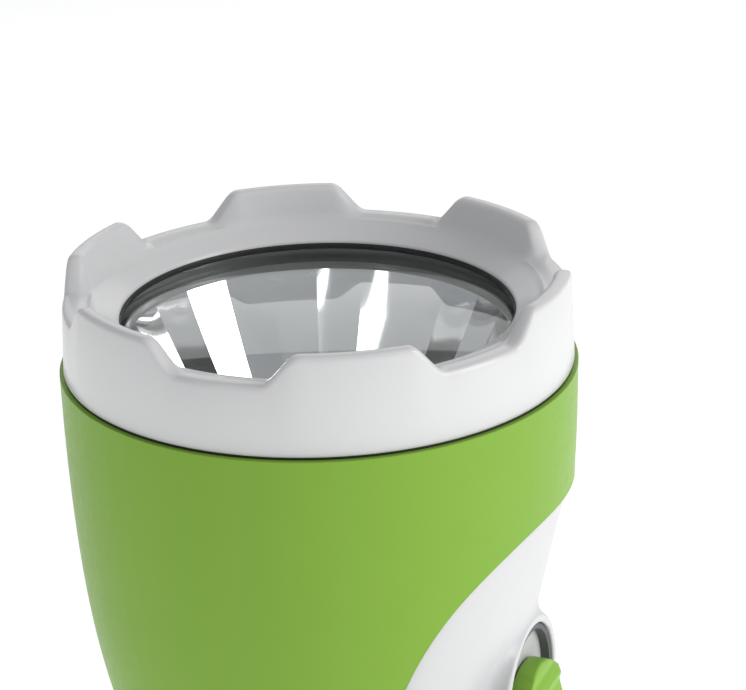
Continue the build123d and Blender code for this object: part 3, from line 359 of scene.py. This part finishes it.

# ---------------------------------------------------------------------------------------------
# Reflector: a deep bowl of ABS, lacquered and coated with aluminium in a vacuum. Its wall is
# pressed in 24 tall petals, nearly flat, under a plain dark grey collar that meets the lens.
# ---------------------------------------------------------------------------------------------
petal_count, petal_steps, petal_curve, petal_turn = 24, 8, 0.35, radians(-157.5)
rim_fade, hole_fade = 1.5, 2.0
bowl_top, collar_low, bowl_floor = SEAM + 5.4, SEAM + 4.2, SEAM - 33.0
hole_radius, mouth_radius, collar_radius, flange_radius = 5.0, 34.4, 35.0, 37.4
bowl_wall, back_from, flange_thick, skirt_low = 1.2, 8.0, 1.4, SEAM - 6.8
bowl_steps = 16
bowl_rise = (collar_low - bowl_floor) / (mouth_radius ** 2 - hole_radius ** 2)

mirror, mirror_shader = blank_finish("vacuum aluminium")
mirror_tree = mirror.node_tree
mirror_shader.inputs["Metallic"].default_value = 1.0
film = noise(mirror_tree, piece_place(mirror_tree), 90.0)
feed(mirror_tree, mirror_shader.inputs["Base Color"],
     blend(mirror_tree, film, (0.90, 0.905, 0.91), (0.94, 0.945, 0.95)))
feed(mirror_tree, mirror_shader.inputs["Roughness"], spread(mirror_tree, film, 0.03, 0.09))
collar_finish = moulded("dark grey collar", (0.36, 0.36, 0.34), (0.30, 0.30, 0.285), 0.22,
                        grain_depth=0.00001, edge_highlight=0.2, coat=0.5)


def bowl_height(reach):
    """The height of the bowl's inner face, a parabola, at a distance from the axis."""
    return bowl_floor + bowl_rise * (reach ** 2 - hole_radius ** 2)


inside, outside = [], []
for step in range(bowl_steps + 1):
    reach = hole_radius + (mouth_radius - hole_radius) * step / bowl_steps
    inside.append((reach, bowl_height(reach)))
    if reach > back_from:
        lean = 2 * bowl_rise * reach
        slope = hypot(lean, 1.0)
        outside.append((reach + bowl_wall * lean / slope,
                        max(bowl_height(reach) - bowl_wall / slope, bowl_floor)))
collar_line = [(mouth_radius + 0.35, collar_low + 0.3), (collar_radius, bowl_top)]
flange_line = [(flange_radius, bowl_top), (flange_radius, skirt_low),
               (flange_radius - bowl_wall, skirt_low), (flange_radius - bowl_wall, bowl_top - flange_thick),
               (outside[-1][0], bowl_top - flange_thick)]
bowl = lathe(inside + collar_line + flange_line + outside[::-1] + [(outside[0][0], bowl_floor)],
             petal_count * petal_steps)
half_petal = pi / petal_count
# Only the inner face is pressed in petals: they fade out at the collar and at the lamp's hole.
for corner in bowl.verts:
    reach = hypot(corner.co.x, corner.co.y)
    if reach < mouth_radius + 0.1 and abs(corner.co.z - bowl_height(reach)) < 0.01:
        turn = atan2(corner.co.y, corner.co.x) - petal_turn
        off = turn % (2 * half_petal) - half_petal
        fade = min((mouth_radius - reach) / rim_fade, 1.0) * min((reach - hole_radius) / hole_fade, 1.0)
        flat = 1.0 + fade * (1.0 - petal_curve) * (cos(half_petal) / cos(off) - 1.0)
        corner.co.x *= flat
        corner.co.y *= flat
for face in bowl.faces:
    middle = face.calc_center_median()
    if middle.z > collar_low - 0.05 and hypot(middle.x, middle.y) < collar_radius + 0.1:
        face.material_index = 1
place_piece("reflector_bowl", bowl, [mirror, collar_finish], "torch", ["reflector"],
            crease=5.0)

# ---------------------------------------------------------------------------------------------
# Shell and front panel: the green head with the back of the handle, and the white panel set in
# its front, both ABS from a lightly textured mould. The panel carries the oval boss of the slide,
# and low on the handle the two lap, where each one's colour ends on the same smooth line.
# ---------------------------------------------------------------------------------------------
part_line_low, part_line_high = 40.0, 66.0
part_line_wide, part_line_narrow = 20.65, 19.40
green_pale, green_deep = (0.262, 0.490, 0.056), (0.238, 0.452, 0.048)
panel_pale, panel_deep = (0.74, 0.74, 0.745), (0.70, 0.70, 0.705)


def split_place(tree):
    """The X, Y and Z of the place on the piece."""
    parts = tree.nodes.new("ShaderNodeSeparateXYZ")
    feed(tree, parts.inputs["Vector"], piece_place(tree))
    return parts.outputs


def repaint(plastic, share, tone):
    """Lays another tone over a finish where the share is one."""
    tree = plastic.node_tree
    colour = tree.nodes["Principled BSDF"].inputs["Base Color"]
    feed(tree, colour, blend(tree, share, colour.links[0].from_socket, tone))


def two_tone(plastic, tone, beyond):
    """Gives the handle's front the other tone, beyond the line of the panel's edge or within it."""
    tree = plastic.node_tree
    across, depth, height = split_place(tree)
    line = spread(tree, height, part_line_wide * MM, part_line_narrow * MM,
                  start=part_line_low * MM, stop=part_line_high * MM, easing="SMOOTHSTEP")
    over = reckon(tree, "GREATER_THAN" if beyond else "LESS_THAN", reckon(tree, "ABSOLUTE", across), line)
    below = reckon(tree, "LESS_THAN", height, part_line_high * MM)
    front = reckon(tree, "LESS_THAN", depth, 0.0)
    repaint(plastic, reckon(tree, "MULTIPLY", reckon(tree, "MULTIPLY", over, below), front), tone)


green_abs = moulded("green ABS", green_pale, green_deep, 0.38, edge_highlight=0.22, specular=0.22)
shell_green = moulded("green shell ABS", green_pale, green_deep, 0.38, edge_highlight=0.22, specular=0.22)
two_tone(shell_green, panel_pale, False)
finish_node("head_shell", shell_green)
# The panel's stronger, wider painted shade darkens the valley round the slide's boss and the seam by the
# shell.
panel_abs = moulded("white panel ABS", panel_pale, panel_deep, 0.36, edge_highlight=0.3, coat=0.10,
                    corner_shade=0.60, shade_reach=0.010)
two_tone(panel_abs, green_deep, True)
finish_node("front_panel", panel_abs)

# ---------------------------------------------------------------------------------------------
# Thumb slide: a ribbed green button in a shallow well. The well's floor is pale and all of the
# well in front of its floor is coloured near black. Behind it, a switch sits on its board.
# ---------------------------------------------------------------------------------------------
well_floor_y, lip_from = -37.7, 0.03
tray_finish = moulded("pale well floor", (0.68, 0.69, 0.68), (0.62, 0.63, 0.62), 0.5)
tray_tree = tray_finish.node_tree
on_lip = reckon(tray_tree, "LESS_THAN", split_place(tray_tree)["Y"], (well_floor_y - lip_from) * MM)
repaint(tray_finish, on_lip, (0.095, 0.097, 0.100))
finish_node("switch_well", tray_finish)

boss_rim_y = -39.9
button_low, button_high = 117.45, 144.45
button_middle = (button_low + button_high) / 2
button_side, button_end, button_base = 9.3, 7.5, 1.9
corner_turns = (14, 32, 50, 66, 80)
flank_foot, flank_out, flank_up = 0.9, 2.5, 2.1
stem_size, stem_y = (4.0, 4.3, 5.0), -35.95
half_ribs = [(button_high, 1.5), (143.5, 1.9), (142.0, 2.1), (139.9, 3.4), (138.3, 2.95),
             (136.1, 3.8), (134.6, 3.35), (132.4, 4.1)]
ribs = half_ribs + [(button_middle, 3.6)] + [(2 * button_middle - z, rise) for z, rise in half_ribs[::-1]]
button = bmesh.new()
outline = [(button_high, -button_base)] + ribs + [(button_low, -button_base)]
side = button.faces.new([button.verts.new((-button_side, boss_rim_y - rise, z)) for z, rise in outline])
grown = bmesh.ops.extrude_face_region(button, geom=[side])
bmesh.ops.translate(button, vec=(2 * button_side, 0, 0),
                    verts=[part for part in grown["geom"] if isinstance(part, bmesh.types.BMVert)])
bmesh.ops.recalc_face_normals(button, faces=button.faces[:])


def trim(shape, place, away):
    """Cuts off what lies beyond a plane and closes the cut."""
    cut = bmesh.ops.bisect_plane(shape, geom=shape.verts[:] + shape.edges[:] + shape.faces[:], dist=0.0001,
                                 plane_co=place, plane_no=away, clear_outer=True)
    edges = [part for part in cut["geom_cut"] if isinstance(part, bmesh.types.BMEdge)]
    bmesh.ops.contextual_create(shape, geom=edges)


for end in (1, -1):
    centre = Vector((0, boss_rim_y, button_middle + end * ((button_high - button_low) / 2 - button_end)))
    for hand in (1, -1):
        for turn in corner_turns:
            tilt = radians(turn)
            away = Vector((hand * cos(tilt), 0, end * sin(tilt)))
            trim(button, centre + away * hypot(button_side * cos(tilt), button_end * sin(tilt)), away)
for hand in (1, -1):
    trim(button, Vector((hand * button_side, boss_rim_y - flank_foot, button_middle)),
         Vector((hand * flank_out, -flank_up, 0)))
stem = bmesh.ops.create_cube(button, size=1.0)["verts"]
bmesh.ops.scale(button, vec=stem_size, verts=stem)
bmesh.ops.translate(button, vec=(0, stem_y, button_middle), verts=stem)
# Painted shade darkens the button's flanks and the gaps round it, and a painted highlight pales its edges.
button_green = moulded("green button ABS", (0.300, 0.570, 0.065), (0.270, 0.530, 0.055), 0.42,
                       edge_highlight=0.3, specular=0.35, corner_shade=0.5)
thumb_button = place_piece("thumb_button", button, [button_green], "slide", ["switch_button"],
                           crease=25.0)
button_edges = thumb_button.modifiers.new("moulded edges", "BEVEL")
button_edges.width = 0.35 * MM
button_edges.segments = 3
button_edges.limit_method = "ANGLE"
button_edges.angle_limit = radians(14)

dark_nylon = moulded("dark nylon", (0.055, 0.055, 0.058), (0.040, 0.040, 0.042), 0.5)
finish_node("slide_switch", dark_nylon)
board_green = moulded("board lacquer", (0.02, 0.16, 0.06), (0.015, 0.11, 0.045), 0.3, grain=400.0)
finish_node("control_board", board_green)

# ---------------------------------------------------------------------------------------------
# Metal fittings: zinc plated steel screws, pins and shafts, a turned brass bush, nickel strips on
# the cells, copper windings round a ferrite magnet, and pressed aluminium for the lamp's sink.
# ---------------------------------------------------------------------------------------------


def metal(name, pale, deep, roughness, stripes=1400.0):
    """Bare or plated metal: two close tones in fine drawn streaks, which also vary the gloss."""
    plate, shader = blank_finish(name)
    tree = plate.node_tree
    shader.inputs["Metallic"].default_value = 1.0
    drawn = tree.nodes.new("ShaderNodeMapping")
    drawn.inputs["Scale"].default_value = (1.0, 0.12, 1.0)
    feed(tree, drawn.inputs["Vector"], piece_place(tree))
    streaks = noise(tree, drawn.outputs["Vector"], stripes, detail=4.0)
    feed(tree, shader.inputs["Base Color"], blend(tree, streaks, deep, pale))
    feed(tree, shader.inputs["Roughness"], spread(tree, streaks, roughness - 0.07, roughness + 0.10))
    fine_surface(tree, shader, streaks, 0.25, 0.00001, 0.00015)
    return plate


zinc_steel = metal("zinc plated steel", (0.62, 0.62, 0.63), (0.50, 0.50, 0.52), 0.30)
for part in ("board_screws", "sink_screws", "plate_screws", "idler_axle", "rotor_shaft", "stator_core",
             "crank_shaft", "fold_pin", "knob_stem", "tail_screws", "generator_can"):
    finish_node(part, zinc_steel)
finish_node("heat_sink", metal("pressed aluminium", (0.70, 0.71, 0.72), (0.60, 0.61, 0.62), 0.38))
finish_node("stator_coils", metal("enamelled copper", (0.66, 0.30, 0.13), (0.50, 0.20, 0.08), 0.28, 3200.0))
finish_node("crank_bush", metal("turned brass", (0.72, 0.55, 0.25), (0.60, 0.44, 0.18), 0.28))
finish_node("cell_contacts", metal("nickel strip", (0.66, 0.63, 0.56), (0.55, 0.52, 0.46), 0.30))
finish_node("rotor_magnet", moulded("ferrite", (0.075, 0.072, 0.070), (0.050, 0.048, 0.047), 0.55,
                                    grain=1500.0))

# ---------------------------------------------------------------------------------------------
# Lamp: one power emitter, a yellow phosphor under a clear silicone dome, soldered to its round
# lacquered board in the floor of the reflector.
# ---------------------------------------------------------------------------------------------
phosphor = moulded("phosphor dome", (0.90, 0.74, 0.22), (0.85, 0.66, 0.14), 0.18, edge_highlight=0.1, coat=0.6)
finish_node("led_emitter", phosphor)
finish_node("led_board", board_green)

# ---------------------------------------------------------------------------------------------
# Inner mouldings: the cells' tray and cap and the gear plates in black ABS, the gears in natural
# acetal, and the cells in a plain shrink sleeve.
# ---------------------------------------------------------------------------------------------
black_abs = moulded("black ABS", (0.050, 0.050, 0.053), (0.035, 0.035, 0.037), 0.45)
for part in ("battery_tray", "battery_cap", "gear_plate_front", "gear_plate_rear"):
    finish_node(part, black_abs)
acetal = moulded("natural acetal", (0.80, 0.79, 0.74), (0.74, 0.73, 0.68), 0.35)
for part in ("crank_gear", "idler_gear", "rotor_pinion"):
    finish_node(part, acetal)
finish_node("battery_cells", moulded("cell sleeve", (0.10, 0.30, 0.14), (0.07, 0.24, 0.10), 0.25, coat=0.4))

# ---------------------------------------------------------------------------------------------
# Crank: a green ABS arm with a slot that the knob folds into. The knob is a waisted white grip
# with twelve flutes, and a cross-recessed steel screw holds the arm on its shaft.
# ---------------------------------------------------------------------------------------------
finish_node("crank_arm", green_abs)
knob_y, knob_low, knob_high = 37.4, 67.2, 90.6
knob_radius, knob_waist, knob_bore = 5.8, 0.8, 2.35
knob_flutes, flute_steps, flute_depth, flute_from, flute_fade = 12, 10, 0.45, 1.5, 2.0
knob_steps = 12
end_round = 0.7
end_corners = [(0.6, 0.0), (0.15, 0.2), (0.0, end_round)]
knob_line = [(knob_bore, knob_low)] + [(knob_radius - inset, knob_low + up) for inset, up in end_corners]
for step in range(1, knob_steps):
    rise = step / knob_steps
    knob_line.append((knob_radius - knob_waist * sin(pi * rise),
                      knob_low + end_round + rise * (knob_high - knob_low - 2 * end_round)))
knob_line += [(knob_radius - inset, knob_high - down) for inset, down in end_corners[::-1]]
knob_line.append((knob_bore, knob_high))
knob = lathe(knob_line, knob_flutes * flute_steps)
for corner in knob.verts:
    reach = hypot(corner.co.x, corner.co.y)
    from_end = min(corner.co.z - knob_low, knob_high - corner.co.z)
    if reach > knob_bore + 1.0 and from_end > flute_from:
        turn = atan2(corner.co.y, corner.co.x)
        fade = min((from_end - flute_from) / flute_fade, 1.0)
        groove = max(0.0, cos(knob_flutes * turn)) ** 1.5
        slim = 1.0 - fade * flute_depth * groove / reach
        corner.co.x *= slim
        corner.co.y *= slim
bmesh.ops.translate(knob, vec=(0, knob_y, 0), verts=knob.verts[:])
place_piece("fluted_knob", knob, [white_abs], "knob", ["knob_grip"])

crank_z = 54.0
screw_front, screw_face = 31.8, 40.3
screw_head, head_radius, shank_radius, head_round = 1.8, 4.6, 1.5, 0.5
slot_half, slot_reach, slot_depth = 0.55, 2.3, 1.1
screw = bmesh.new()
bmesh.ops.create_circle(screw, cap_ends=False, segments=48, radius=head_radius - head_round)
cross = [(slot_half, slot_half), (slot_half, slot_reach), (-slot_half, slot_reach),
         (-slot_half, slot_half), (-slot_reach, slot_half), (-slot_reach, -slot_half),
         (-slot_half, -slot_half), (-slot_half, -slot_reach), (slot_half, -slot_reach),
         (slot_half, -slot_half), (slot_reach, -slot_half), (slot_reach, slot_half)]
points = [screw.verts.new((x, z, 0)) for x, z in cross]
slot_edges = [screw.edges.new((one, other)) for one, other in zip(points, points[1:] + points[:1])]
rim_edges = [edge for edge in screw.edges if edge not in slot_edges]
bmesh.ops.bridge_loops(screw, edges=slot_edges + rim_edges)
sunk = bmesh.ops.extrude_edge_only(screw, edges=slot_edges)["geom"]
bmesh.ops.translate(screw, vec=(0, 0, -slot_depth),
                    verts=[part for part in sunk if isinstance(part, bmesh.types.BMVert)])
bmesh.ops.contextual_create(screw, geom=[part for part in sunk if isinstance(part, bmesh.types.BMEdge)])
for wide, down in ((0.35, 0.15), (0.15, head_round), (0.0, screw_head - head_round)):
    skin = bmesh.ops.extrude_edge_only(screw, edges=rim_edges)["geom"]
    rim_edges = [part for part in skin if isinstance(part, bmesh.types.BMEdge)]
    ring = [part for part in skin if isinstance(part, bmesh.types.BMVert)]
    bmesh.ops.translate(screw, vec=(0, 0, -down), verts=ring)
    for corner in ring:
        grow = 1.0 + wide / hypot(corner.co.x, corner.co.y)
        corner.co.x *= grow
        corner.co.y *= grow
bmesh.ops.contextual_create(screw, geom=rim_edges)
shank_length = screw_face - screw_head - screw_front
bmesh.ops.create_cone(screw, cap_ends=True, segments=32, radius1=shank_radius, radius2=shank_radius,
                      depth=shank_length,
                      matrix=Matrix.Translation((0, 0, -screw_head - shank_length / 2 + 0.01)))
bmesh.ops.transform(screw, verts=screw.verts[:],
                    matrix=Matrix.Translation((0, screw_face, crank_z)) @ Matrix.Rotation(-pi / 2, 4, "X"))
place_piece("crank_screw_cross", screw, [zinc_steel], "crank", ["crank_screw"])

# ---------------------------------------------------------------------------------------------
# Tail: a white ABS cap closes the handle, held by two screws from below. A black rubber ring under
# it keeps the torch from sliding when it stands.
# ---------------------------------------------------------------------------------------------
# The cap gets a painted highlight on its rounded edges and painted shade in its corners.
cap_abs = moulded("white cap ABS", panel_pale, panel_deep, 0.36, edge_highlight=0.3, coat=0.10, corner_shade=0.5)
finish_node("tail_cap", cap_abs)
finish_node("foot_ring", rubber)
